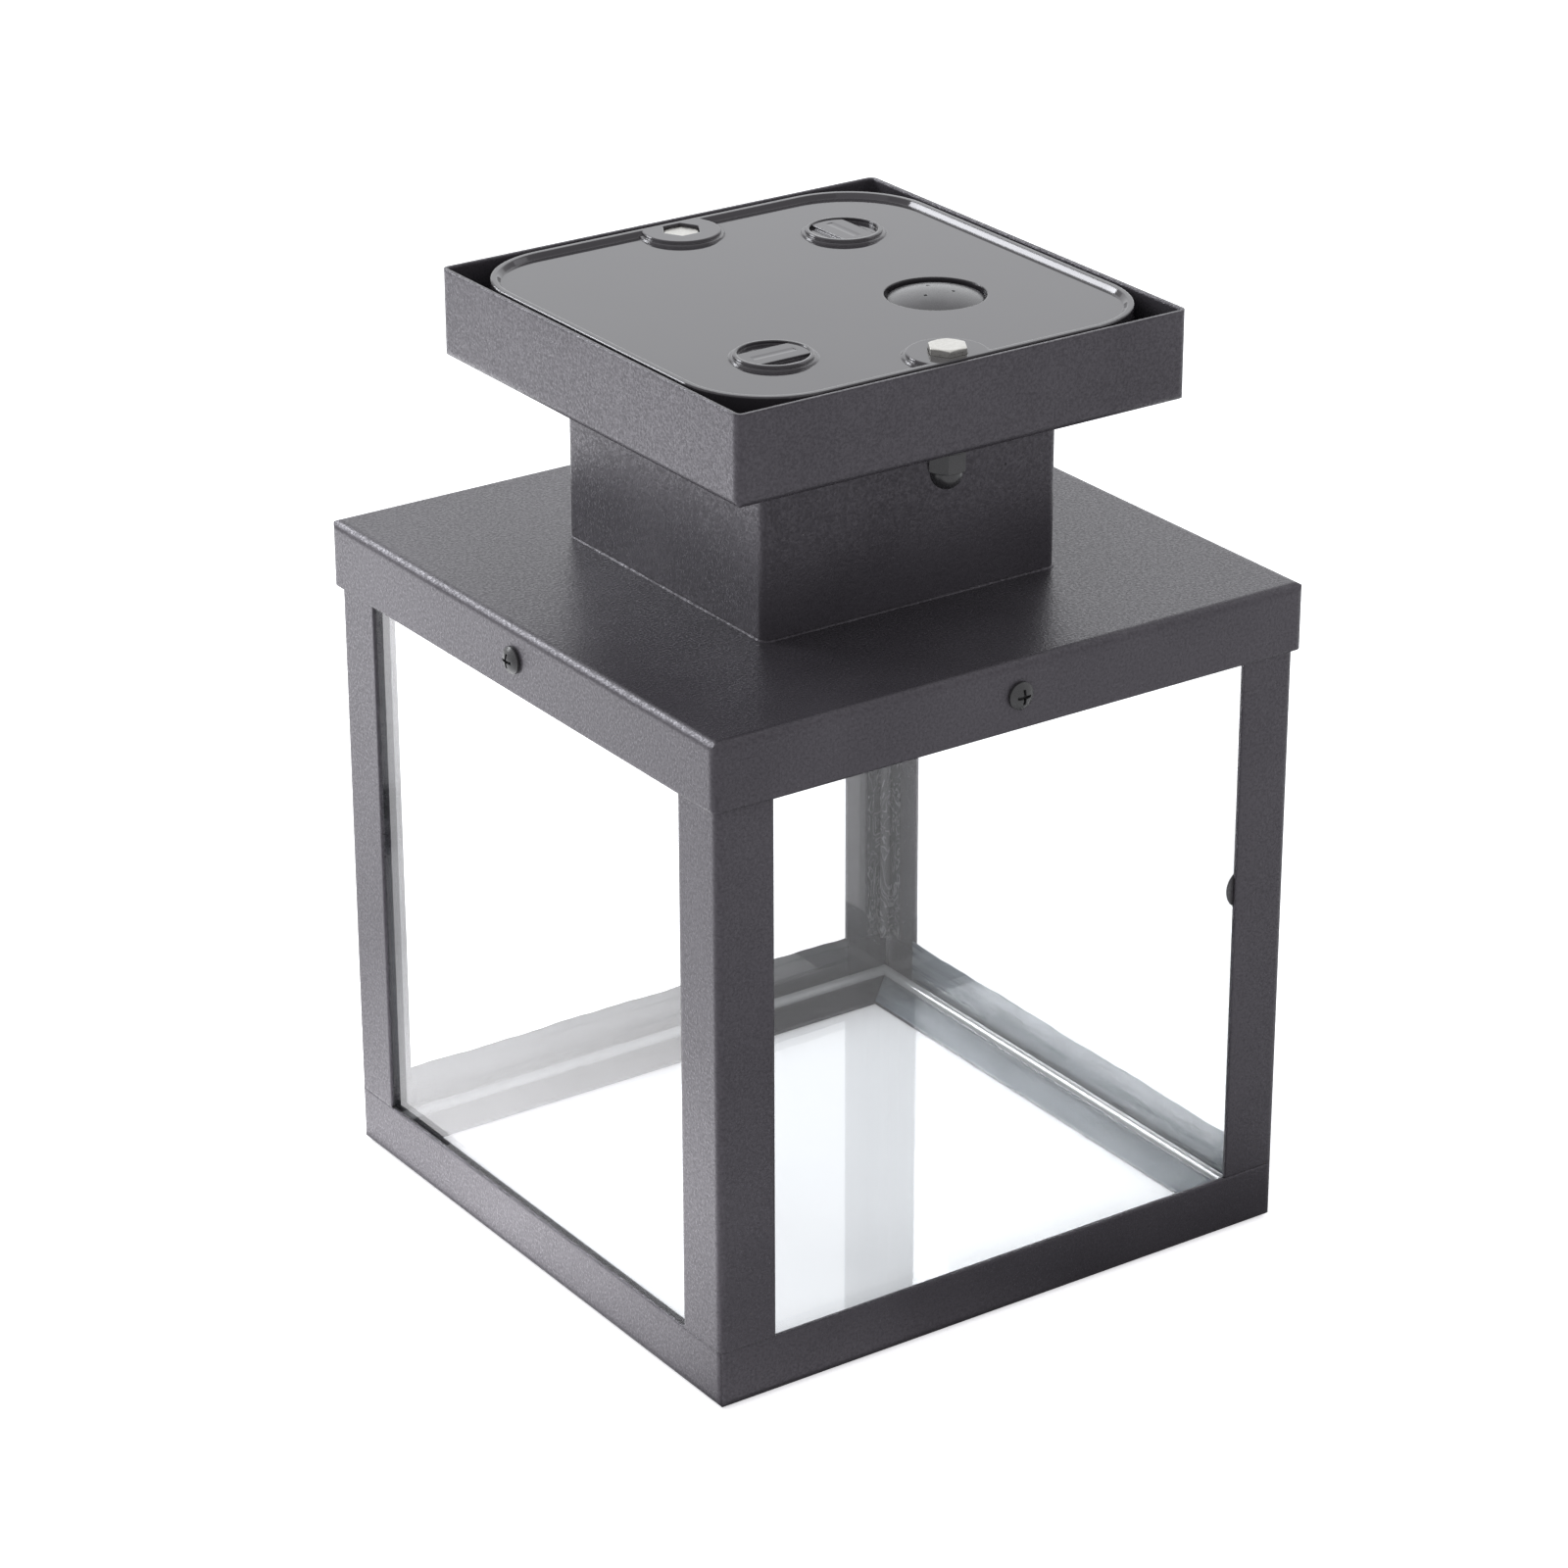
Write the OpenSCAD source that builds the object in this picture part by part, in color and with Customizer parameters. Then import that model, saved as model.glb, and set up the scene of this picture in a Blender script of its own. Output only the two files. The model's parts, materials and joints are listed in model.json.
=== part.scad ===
// Porch ceiling lantern: a square canopy box, a square neck, a roof pan and a glazed cage below it.
// Millimetres, +Z up, origin at the centre of the underside. The front is at -Y and the left at -X.

/* [Roof] */
// Side of the square roof pan
roof_w = 200; // [180:1:240]
// Height of the folded-down skirt
skirt_h = 20; // [18:0.5:30]
// Thickness of the roof sheet
roof_t = 1.2; // [0.8:0.1:1.8]
// Outside radius of the folds between roof and skirt
roof_fold_r = 2.5; // [2.2:0.1:4]

/* [Neck] */
// Outer side of the square neck tube
neck_w = 100; // [90:1:112]
// Height of the neck tube
neck_h = 52; // [50:1:80]
// Wall of the neck tube
neck_t = 1.5; // [1:0.1:2.5]
// Outside radius of the tube's upright edges
neck_corner_r = 2.8; // [2.6:0.1:6]

/* [Canopy] */
// How far the canopy box stands out past the neck, on each side
canopy_brim = 25; // [23:0.5:35]
// Height of the canopy box
canopy_h = 26.5; // [25:0.5:40]
// Thickness of the canopy sheet
canopy_t = 1.2; // [0.8:0.1:1.8]
// Outside radius of the canopy's folds
canopy_fold_r = 2.5; // [2.2:0.1:4]

/* [Cage] */
// Height from the underside to the lower edge of the skirt
cage_drop = 182.5; // [150:0.5:230]
// Width of the angle flanges
flange_w = 18.2; // [15:0.1:22]
// Height of the rails' upright flanges
rail_h = 18; // [15:0.1:22]
// Thickness of the angle sections
cage_t = 1.2; // [0.8:0.1:1.8]
// Outside radius of the rails' lower edge
rail_fold_r = 2.5; // [2.1:0.1:3]
// Outside radius of the upright edges
post_fold_r = 2.2; // [2.1:0.1:3]
// Gap between the cage and the skirt around it
skirt_gap = 0.5; // [0.3:0.1:1]

/* [Glass] */
// Thickness of the side panes
pane_t = 3; // [2:0.5:4]
// Thickness of the base pane
base_pane_t = 4; // [3:0.5:6]
// Thickness of the sealant film between flange and pane
film_t = 0.4; // [0.3:0.1:0.8]
// Width of the sealant film in each corner
film_w = 9; // [6:0.5:12]

/* [Ceiling plate] */
// Gap between the plate and the canopy walls
plate_gap = 1.6; // [1:0.1:3]
// Corner radius of the plate
plate_corner_r = 27; // [20:1:35]
// Width of the raised rim's top
rim_w = 1.8; // [1.5:0.1:3]
// Height of the rim, pads and bosses above the field
dish = 1.4; // [1.3:0.1:2.4]
// Thickness of the plate's field
plate_t = 2.5; // [2:0.1:3]
// Radius of the half-round pads around the bolts
pad_r = 12.6; // [11:0.1:15]
// Distance of each screw boss from the canopy's two nearest sides
boss_edge = 36; // [31:0.5:40]
// Radius of the screw bosses
boss_r = 12.3; // [11:0.1:14]
// Radius of the openings in the bosses
boss_hole_r = 10; // [8:0.1:10.5]
// Width of the bar across each boss opening
boss_bar_w = 10.5; // [8:0.1:12]
// Distance of the cable hole from the canopy's right side
cable_edge_x = 46.5; // [43:0.5:48]
// Distance of the cable hole from the canopy's front side
cable_edge_y = 54.5; // [51:0.5:56]
// Radius of the cable hole
cable_hole_r = 14.5; // [12:0.1:16]

/* [Hanging bolts] */
// Distance of the bolts from the canopy's front and back sides
bolt_edge = 10; // [9:0.1:12]
// Nominal diameter of the bolts
bolt_d = 6; // [5:0.5:6.5]
// Width of bolt heads and nuts across their flats
bolt_af = 10; // [9.5:0.1:11]
// Height of the bolt heads
bolt_head_h = 4; // [3.5:0.1:4.5]
// Depth of the hexagonal pockets in the plate
pocket_depth = 5; // [4.7:0.1:6]
// How far each bolt can rise from its seat
bolt_travel = 2.8; // [1:0.1:4]
// Height of the hexagonal part of the cap nuts
nut_hex_h = 6; // [5:0.1:7]
// Height of the whole cap nut
nut_h = 11.5; // [11:0.1:13]
// Depth of the bolt in its cap nut
nut_engage = 9.1; // [7:0.1:9.2]

/* [Lampholder] */
// Outer radius of the porcelain body
holder_r = 19.5; // [18:0.5:21]
// Height of the porcelain body
holder_h = 46; // [42:1:50]
// Inner radius of the screw shell
shell_r = 13.4; // [13.2:0.1:13.6]
// Height of the screw shell
shell_h = 24; // [20:1:26]
// How far the body reaches below the roof sheet
holder_drop = 15; // [8:0.5:18]

/* [Hidden] */
$fn = 64;

// Overrun of every cut, and the play left where pieces seat without touching
cut = 1;
seat = 0.3;

// Canopy, and the places that follow its sides
canopy_w = neck_w + 2 * canopy_brim;
bolt_y = canopy_w / 2 - bolt_edge;
boss_at = canopy_w / 2 - boss_edge;
cable_x = canopy_w / 2 - cable_edge_x;
cable_y = cable_edge_y - canopy_w / 2;

// Heights of the main pieces
roof_top = cage_drop + skirt_h;
roof_under = roof_top - roof_t;
canopy_bottom = roof_top + neck_h;
canopy_floor = canopy_bottom + canopy_t;
canopy_top = canopy_bottom + canopy_h;

// Cage
cage_w = roof_w - 2 * (roof_t + skirt_gap);
cage_half = cage_w / 2;
cage_top = roof_under - seat;
top_rail_z = cage_top - rail_h;
angle_inner_r = 0.8;
pane_z = cage_t + seat;
pane_lap = 4;
pane_top = top_rail_z + pane_lap;
pane_out = cage_half - cage_t - film_t;
pane_in = pane_out - pane_t;
base_joint = 0.6;
base_half = pane_in - base_joint;
bead_r = 2.2;
film_edge = cage_half - cage_t - film_w;
pad_disc_r = 6.5;
pad_z = 111;
pad_slip = 4.8;

// Skirt screws
screw_r = 2;
screw_play = 0.25;
screw_len = 8;
screw_head_r = 4;
screw_head_h = 2.4;
screw_crown_r = 6;
recess_w = 0.9;
recess_l = 4.4;
recess_depth = 1.4;
skirt_screw_z = cage_drop + skirt_h / 2;
thread_play = 0.05;
skirt_nut_af = 7;
skirt_nut_h = 3.2;

// Ceiling plate
plate_w = canopy_w - 2 * (canopy_t + plate_gap);
plate_top = canopy_top;
field_top = plate_top - dish;
field_under = field_top - plate_t;
lip_t = 2;
lip_lift = 0.5;
rim_slope = 1.2;
edge_r = 0.4;
tier_step = 1.1;
tier_h = 0.55;
boss_sink = 0.3;
opening_depth = 1.1;
bar_dip_r = 8;
bar_dip = 0.12;
bar_dip_l = 14;
pilot_r = 2.3;
pilot_wall = 2.6;
membrane_t = 0.9;
bolt_play = 0.3;
pocket_play = 0.2;
pocket_wall = 2;
pocket_web = 2.4;
spacer_r = 6;
rib_t = 1.8;
rib_y = 12;
pocket_floor = plate_top - pocket_depth;
pocket_under = pocket_floor - pocket_web;
pilot_top = plate_top - boss_sink - membrane_t;
pilot_depth = pilot_top - pocket_under;
lip_h = field_under - pocket_under - lip_lift;
rib_reach = bolt_y - spacer_r - bolt_play;

// Bolts and cap nuts
clamp_gap = 0.3;
washer_t = 1;
washer_r = 6;
nut_gap = 0.1;
seat_gap = 0.2;
nut_bore_end = 0.6;
nut_bore_depth = nut_engage + nut_bore_end;
dome_share = 0.9;
dome_r = dome_share * bolt_af / 2;
chamfer_share = 0.94;
washer_high_z = canopy_bottom - clamp_gap - washer_t;
nut_high_top = washer_high_z - nut_gap;
bolt_end_z = nut_high_top - nut_engage;
bolt_len = pocket_floor + seat_gap + bolt_travel - bolt_end_z;
tip_chamfer = 0.8;

// Cable grommet
grommet_gap = 1;
grommet_flange = 2.4;
grommet_flange_t = 2;
grommet_crown = 2.4;
pinhole_r = 0.5;
pinhole_ring_r = 5;
pinhole_turn = 80;
pinhole_depth = 1.6;

// Lampholder and its bracket
neck_in = neck_w / 2 - neck_t;
ledge_w = 10.5;
roof_hole = neck_in - ledge_w;
bracket_w = 20;
bracket_t = 1.5;
leg_gap = 2.5;
leg_out = roof_hole - leg_gap;
foot_end = neck_in - seat;
foot_screw_x = roof_hole + ledge_w / 2;
bracket_screw_len = 6;
holder_mouth = roof_under - holder_drop;
holder_top = holder_mouth + holder_h;
shell_t = 0.8;
shell_play = 0.1;
shell_set = 3;
holder_neck_r = 13;
holder_neck_h = 12;
holder_edge = 1.2;
shell_z = holder_mouth + shell_set;
cup_top = shell_z + shell_h + 5 * shell_t;
contact_r = 5;
contact_t = 0.8;
contact_w = 5;
contact_l = 10;
contact_drop = 2.4;
nipple_r = 5;
nipple_bore_r = 3.4;
nipple_h = 9;
nipple_nut_h = 3;
nipple_nut_af = 14;

// Terminal block, earth point and leads
lead_r = 1.1;
lead_apart = 1.3;
bush_r = 5;
bush_bore_r = 3;
bush_flange = 1.6;
bush_flange_t = 1.2;
block_x = -34;
pole_pitch = 8;
pole_share = 0.86;
block_d = 17;
block_base_h = 4;
block_h = 12;
funnel_r = 2.2;
funnel_depth = 5;
wire_z = canopy_floor + 7;
lug_w = 9;
lug_y = -1.5 * pole_pitch - lug_w / 2;
terminal_screw_r = 1.6;
terminal_screw_h = 2.5;
earth_at = [-14, 24];
tag_r = 4;
tag_t = 0.8;
barrel_r = 1.8;
barrel_gap = 0.2;
barrel_l = 6;
lead_sides = 8;
path_steps = 4;
holder_lead_z = cup_top + seat;
live_path = [
    [-29.5, -8, wire_z], [-22, -8, wire_z], [-12, -6, wire_z + 2], [-4, -2.2, wire_z + 1],
    [-0.6, -lead_apart, wire_z - 3], [0, -lead_apart, canopy_bottom], [0, -lead_apart, holder_top + nipple_h],
    [0, -lead_apart, holder_lead_z]];
neutral_path = [
    [-29.5, 0, wire_z], [-22, 0, wire_z], [-12, 1.8, wire_z + 2], [-4, 1.6, wire_z + 1],
    [-0.6, lead_apart, wire_z - 3], [0, lead_apart, canopy_bottom], [0, lead_apart, holder_top + nipple_h],
    [0, lead_apart, holder_lead_z]];
earth_path = [
    [-29.5, 8, wire_z], [-24, 8, wire_z], [-18, 8, wire_z - 1.5], [-14.5, 10, wire_z - 3.6],
    [earth_at[0], 12.5, canopy_floor + barrel_r], [earth_at[0], 14.5, canopy_floor + barrel_r],
    [earth_at[0], 16.5, canopy_floor + barrel_r]];

// Colours
black_paint = [0.11, 0.11, 0.12];
glass_tint = [0.85, 0.93, 0.95, 0.35];
black_plastic = [0.2, 0.2, 0.21];
rubber = [0.08, 0.08, 0.08];
silicone = [0.75, 0.76, 0.77];
zinc = [0.8, 0.8, 0.78];
brass = [0.78, 0.65, 0.35];
porcelain = [0.93, 0.92, 0.88];

// Turns a piece drawn on the front side to side n: 0 front, 1 right, 2 back, 3 left
module side(n) {
    rotate([0, 0, 90 * n]) children();
}

// Square with round corners, centred
module round_square(w, r) {
    square([w - 2 * r, w], center = true);
    square([w, w - 2 * r], center = true);
    for (sx = [-1, 1], sy = [-1, 1]) {
        translate([sx * (w / 2 - r), sy * (w / 2 - r)]) circle(r);
    }
}

// Rectangle from the origin whose corner there is round
module corner_rect(a, b, r) {
    translate([r, 0]) square([a - r, b]);
    translate([0, r]) square([a, b - r]);
    translate([r, r]) circle(r);
}

// Angle section with its outer corner at the origin: arm a along X, arm b along Y
module angle_section(a, b, t, r) {
    difference() {
        corner_rect(a, b, r);
        translate([t, t]) corner_rect(a, b, angle_inner_r);
    }
}

// Upright profile through a pan of width w and height h, round at its top corners
module pan_profile(w, h, r) {
    translate([-w / 2, 0]) square([w, h - r]);
    translate([r - w / 2, h - r - cut]) square([w - 2 * r, r + cut]);
    for (s = [-1, 1]) {
        translate([s * (w / 2 - r), h - r]) circle(r);
    }
}

// Closed block of a pan: flat top, round top edges and round upright corners
module pan_block(w, h, r) {
    intersection() {
        rotate([90, 0, 0]) linear_extrude(w, center = true) pan_profile(w, h, r);
        rotate([90, 0, 90]) linear_extrude(w, center = true) pan_profile(w, h, r);
        linear_extrude(h) round_square(w, r);
    }
}

// Folded sheet pan, open at the bottom
module pan(w, h, t, r) {
    difference() {
        pan_block(w, h, r);
        translate([0, 0, -cut]) pan_block(w - 2 * t, h - t + cut, r - t);
    }
}

// Profile of a round step: radius r, height h, and a round upper edge
module round_step(r, h, e) {
    square([r, h - e]);
    square([r - e, h]);
    translate([r - e, h - e]) circle(e);
}

// Profile swept round a square of side w with round corners: its X = 0 runs along the outline, minus is inward
module around_square(w, r) {
    for (n = [0:3]) {
        side(n) {
            translate([0, -w / 2, 0]) rotate([90, 0, -90]) linear_extrude(w - 2 * r, center = true) children();
            translate([w / 2 - r, r - w / 2, 0]) rotate([0, 0, -90]) {
                rotate_extrude(angle = 90) translate([r, 0]) children();
            }
        }
    }
}

// Straight bar along the front side: a profile drawn in Y (out) and Z, mitred at both ends
module mitred_bar() {
    intersection() {
        translate([-cage_half, 0, 0]) rotate([90, 0, 90]) linear_extrude(cage_w) children();
        linear_extrude(canopy_top) polygon([[0, 0], [-cage_half, -cage_half], [cage_half, -cage_half]]);
    }
}

// Hexagonal prism with a round chamfer on its top, standing on Z = 0
module hex_prism(af, h) {
    corner_r = af / sqrt(3);
    intersection() {
        cylinder(h = h, r = corner_r, $fn = 6);
        union() {
            cylinder(h = h * chamfer_share, r = corner_r);
            translate([0, 0, h * chamfer_share]) {
                cylinder(h = h * (1 - chamfer_share), r1 = corner_r, r2 = af / 2 * chamfer_share);
            }
        }
    }
}

// Pan-head screw with a crossed recess: head above Z = 0, shank below
module pan_screw(len) {
    difference() {
        union() {
            intersection() {
                cylinder(h = screw_head_h, r = screw_head_r);
                translate([0, 0, screw_head_h - screw_crown_r]) sphere(screw_crown_r);
            }
            translate([0, 0, -len]) cylinder(h = len + screw_head_h / 2, r = screw_r);
        }
        for (turn = [0, 90]) {
            rotate([0, 0, turn]) translate([-recess_l / 2, -recess_w / 2, screw_head_h - recess_depth]) {
                cube([recess_l, recess_w, recess_depth + cut]);
            }
        }
    }
}

// Upright hole of radius r through everything between two heights
module drill(x, y, r, low, high) {
    translate([x, y, low - cut]) cylinder(h = high - low + 2 * cut, r = r);
}

module bottom_rail(n) {
    color(black_paint) side(n) intersection() {
        mitred_bar() translate([-cage_half, 0]) angle_section(flange_w, rail_h, cage_t, rail_fold_r);
        linear_extrude(rail_h) round_square(cage_w, post_fold_r);
    }
}

module post(n) {
    color(black_paint) side(n) translate([-cage_half, -cage_half, rail_h]) {
        linear_extrude(top_rail_z - rail_h) angle_section(flange_w, flange_w, cage_t, post_fold_r);
    }
}

module top_rail(n) {
    color(black_paint) side(n) difference() {
        intersection() {
            mitred_bar() translate([-cage_half, cage_top]) mirror([0, 1]) {
                angle_section(flange_w, rail_h, cage_t, rail_fold_r);
            }
            linear_extrude(cage_top) round_square(cage_w, post_fold_r);
        }
        translate([0, cut - cage_half + cage_t, skirt_screw_z]) rotate([90, 0, 0]) {
            cylinder(h = cage_t + 2 * cut, r = screw_r + screw_play);
        }
    }
}

// The front and back panes run from corner to corner, the left and right ones fit between them
module side_pane(n) {
    half = n % 2 == 0 ? pane_out : pane_in - seat;
    color(glass_tint) side(n) translate([-half, -pane_out, pane_z]) cube([2 * half, pane_t, pane_top - pane_z]);
}

module pane_base() {
    color(glass_tint) translate([-base_half, -base_half, cage_t]) {
        cube([2 * base_half, 2 * base_half, base_pane_t]);
    }
}

// One corner's sealant in plan, for a corner at low X and low Y whose front pane runs through
module sealant_plan() {
    o = pane_out + film_t;
    translate([angle_inner_r - o, -o]) square([film_w - angle_inner_r, film_t]);
    translate([-o, angle_inner_r - o]) square([film_t, film_w - angle_inner_r]);
    translate([-o, -pane_in]) square([film_t + pane_t, seat]);
    intersection() {
        translate([-pane_in, -pane_in]) circle(bead_r);
        translate([-pane_in, -pane_in]) square(bead_r);
    }
}

module corner_sealant() {
    color(silicone) translate([0, 0, rail_h]) linear_extrude(top_rail_z - rail_h) {
        for (mx = [0, 1], my = [0, 1]) {
            mirror([mx, 0]) mirror([0, my]) sealant_plan();
        }
    }
}

// Joint around the base pane with a small fillet against the side panes
module base_sealant() {
    rise = base_pane_t + cage_t - pane_z;
    color(silicone) for (n = [0:3]) {
        side(n) mitred_bar() {
            translate([-pane_in, pane_z]) square([base_joint, rise]);
            translate([-pane_in, pane_z + rise]) intersection() {
                circle(bead_r);
                square(bead_r);
            }
        }
    }
}

// Round adhesive pads that hold the panes to the posts; the one at the front right has slipped
module glazing_pads() {
    middle = cage_half - flange_w / 2;
    color(rubber) for (n = [0:3], s = [-1, 1]) {
        slip = n == 0 && s == 1 ? pad_slip : 0;
        side(n) intersection() {
            translate([s * (middle - slip), -pane_out, pad_z]) rotate([90, 0, 0]) {
                cylinder(h = film_t, r = pad_disc_r);
            }
            translate([-film_edge, -cage_half, 0]) cube([2 * film_edge, cage_half, top_rail_z]);
        }
    }
}

module roof_pan() {
    color(black_paint) difference() {
        translate([0, 0, cage_drop]) pan(roof_w, skirt_h, roof_t, roof_fold_r);
        translate([-roof_hole, -roof_hole, roof_under - cut]) {
            cube([2 * roof_hole, 2 * roof_hole, roof_t + 2 * cut]);
        }
        for (n = [0:3]) {
            side(n) translate([0, cut - roof_w / 2 + roof_t, skirt_screw_z]) rotate([90, 0, 0]) {
                cylinder(h = roof_t + 2 * cut, r = screw_r + screw_play);
            }
        }
        for (s = [-1, 1]) {
            drill(s * foot_screw_x, 0, screw_r + thread_play, roof_under, roof_top);
        }
    }
}

module skirt_screws() {
    color(black_paint) for (n = [0:3]) {
        side(n) translate([0, -roof_w / 2, skirt_screw_z]) rotate([90, 0, 0]) pan_screw(screw_len);
    }
}

module skirt_nuts() {
    color(zinc) for (n = [0:3]) {
        side(n) translate([0, cage_t - cage_half, skirt_screw_z]) rotate([-90, 0, 0]) difference() {
            cylinder(h = skirt_nut_h, r = skirt_nut_af / sqrt(3), $fn = 6);
            translate([0, 0, -cut]) cylinder(h = skirt_nut_h + 2 * cut, r = screw_r + thread_play);
        }
    }
}

module neck_tube() {
    color(black_paint) translate([0, 0, roof_top]) linear_extrude(neck_h) difference() {
        round_square(neck_w, neck_corner_r);
        round_square(neck_w - 2 * neck_t, neck_corner_r - neck_t);
    }
}

module canopy() {
    color(black_paint) difference() {
        translate([0, 0, canopy_top]) mirror([0, 0, 1]) pan(canopy_w, canopy_h, canopy_t, canopy_fold_r);
        for (s = [-1, 1]) {
            drill(0, s * bolt_y, bolt_d / 2 + bolt_play, canopy_bottom, canopy_floor);
        }
        drill(0, 0, bush_r, canopy_bottom, canopy_floor);
        drill(earth_at[0], earth_at[1], screw_r + thread_play, canopy_bottom, canopy_floor);
        drill(block_x, lug_y, screw_r + thread_play, canopy_bottom, canopy_floor);
    }
}

// Stepped round pad that rises from the underside of the field to the plate's top
module stepped_pad(r) {
    translate([0, 0, field_under]) rotate_extrude() {
        round_step(r, plate_t + tier_h, edge_r);
        round_step(r - tier_step, plate_top - field_under, edge_r);
    }
}

// Openings of a screw boss on both sides of its bar, which lies along X, sinks a little and dips lengthwise
module boss_opening() {
    translate([0, 0, plate_top - opening_depth]) difference() {
        cylinder(h = opening_depth + cut, r = boss_hole_r);
        translate([-boss_r, -boss_bar_w / 2, -cut]) cube([2 * boss_r, boss_bar_w, opening_depth + 3 * cut]);
    }
    translate([0, 0, plate_top - boss_sink]) {
        cylinder(h = boss_sink + cut, r = boss_hole_r);
        translate([-bar_dip_l / 2, 0, bar_dip_r - bar_dip]) rotate([0, 90, 0]) {
            cylinder(h = bar_dip_l, r = bar_dip_r);
        }
    }
}

// Profile of the plate's border, inward of X = 0: the lip, the outer wall, a round edge and the sloped rim
module border_profile() {
    translate([-lip_t, field_under - lip_h]) square([lip_t, lip_h + plate_t]);
    translate([-rim_w - rim_slope, field_under]) square([rim_w + rim_slope, plate_t]);
    polygon([
        [0, field_top], [0, plate_top - edge_r], [-edge_r, plate_top - edge_r], [-edge_r, plate_top],
        [-rim_w, plate_top], [-rim_w - rim_slope, field_top]]);
    translate([-edge_r, plate_top - edge_r]) circle(edge_r);
}

// Tray with a sloped rim above, a lip and ribs below, pads for the bolts and bosses for the ceiling screws
module ceiling_plate() {
    reach = plate_w / 2 - rim_w / 2;
    color(black_plastic) difference() {
        union() {
            translate([0, 0, field_under]) linear_extrude(plate_t) {
                round_square(plate_w - 2 * rim_w, plate_corner_r - rim_w);
            }
            around_square(plate_w, plate_corner_r) border_profile();
            for (s = [-1, 1]) {
                intersection() {
                    translate([0, s * bolt_y, 0]) stepped_pad(pad_r);
                    translate([-reach, -reach, 0]) cube([2 * reach, 2 * reach, canopy_top + cut]);
                }
                translate([0, s * bolt_y, pocket_under]) {
                    cylinder(h = field_top - pocket_under, r = bolt_af / sqrt(3) + pocket_play + pocket_wall);
                }
                translate([s * boss_at, s * boss_at, 0]) stepped_pad(boss_r);
                translate([s * boss_at, s * boss_at, pilot_top - pilot_depth]) {
                    cylinder(h = pilot_depth, r = pilot_r + pilot_wall);
                }
            }
            translate([-rib_t / 2, -rib_reach, field_under - lip_h]) cube([rib_t, 2 * rib_reach, lip_h + cut]);
            translate([lip_t / 2 - plate_w / 2, rib_y - rib_t / 2, field_under - lip_h]) {
                cube([plate_w - lip_t, rib_t, lip_h + cut]);
            }
        }
        for (s = [-1, 1]) {
            drill(0, s * bolt_y, bolt_d / 2 + bolt_play, pocket_under, pocket_floor);
            translate([0, s * bolt_y, pocket_floor]) {
                cylinder(h = pocket_depth + cut, r = bolt_af / sqrt(3) + pocket_play, $fn = 6);
            }
            translate([s * boss_at, s * boss_at, pilot_top - pilot_depth - cut]) {
                cylinder(h = pilot_depth + cut, r = pilot_r);
            }
        }
        translate([-boss_at, -boss_at, 0]) boss_opening();
        translate([boss_at, boss_at, 0]) rotate([0, 0, 90]) boss_opening();
        drill(cable_x, cable_y, cable_hole_r, field_under, field_top);
    }
}

// Sleeves around the bolts that carry the ceiling plate on the canopy floor
module plate_spacers() {
    color(black_plastic) for (s = [-1, 1]) {
        translate([0, s * bolt_y, canopy_floor]) difference() {
            cylinder(h = pocket_under - canopy_floor, r = spacer_r);
            translate([0, 0, -cut]) cylinder(h = pocket_under - canopy_floor + 2 * cut, r = bolt_d / 2 + bolt_play);
        }
    }
}

// Domed rubber seal set into the cable hole from below
module cable_grommet() {
    crown_r = cable_hole_r - grommet_gap;
    ball_r = (crown_r * crown_r + grommet_crown * grommet_crown) / (2 * grommet_crown);
    wall_top = field_top - grommet_crown / 2;
    color(rubber) translate([cable_x, cable_y, 0]) difference() {
        union() {
            translate([0, 0, field_under - grommet_flange_t]) {
                cylinder(h = grommet_flange_t, r = cable_hole_r + grommet_flange);
            }
            translate([0, 0, field_under - grommet_flange_t]) {
                cylinder(h = wall_top - field_under + grommet_flange_t, r = crown_r);
            }
            intersection() {
                translate([0, 0, wall_top + grommet_crown - ball_r]) sphere(ball_r, $fn = 96);
                translate([0, 0, wall_top - grommet_crown]) cylinder(h = 3 * grommet_crown, r = crown_r);
            }
        }
        for (k = [0:2]) {
            rotate([0, 0, pinhole_turn + 120 * k]) translate([pinhole_ring_r, 0, wall_top]) {
                cylinder(h = grommet_crown + cut, r = pinhole_r);
            }
        }
    }
}

// Hexagon bolt standing in the plate, raised by lift from its seat
module hanging_bolt(s, lift) {
    under = pocket_floor + seat_gap + lift;
    color(zinc) translate([0, s * bolt_y, under]) {
        hex_prism(bolt_af, bolt_head_h);
        translate([0, 0, tip_chamfer - bolt_len]) cylinder(h = bolt_len - tip_chamfer + cut, r = bolt_d / 2);
        translate([0, 0, -bolt_len]) {
            cylinder(h = tip_chamfer, r1 = bolt_d / 2 - tip_chamfer, r2 = bolt_d / 2);
        }
    }
}

module bolt_washer(s, lift) {
    color(black_paint) translate([0, s * bolt_y, washer_high_z - bolt_travel + lift]) difference() {
        cylinder(h = washer_t, r = washer_r);
        translate([0, 0, -cut]) cylinder(h = washer_t + 2 * cut, r = bolt_d / 2 + pocket_play);
    }
}

module cap_nut(s, lift) {
    top = nut_high_top - bolt_travel + lift;
    color(black_paint) translate([0, s * bolt_y, top]) difference() {
        union() {
            mirror([0, 0, 1]) hex_prism(bolt_af, nut_hex_h);
            translate([0, 0, dome_r - nut_h]) cylinder(h = nut_h - dome_r - nut_hex_h / 2, r = dome_r);
            translate([0, 0, dome_r - nut_h]) sphere(dome_r);
        }
        translate([0, 0, -nut_bore_depth]) cylinder(h = nut_bore_depth + cut, r = bolt_d / 2 + thread_play);
    }
}

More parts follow.
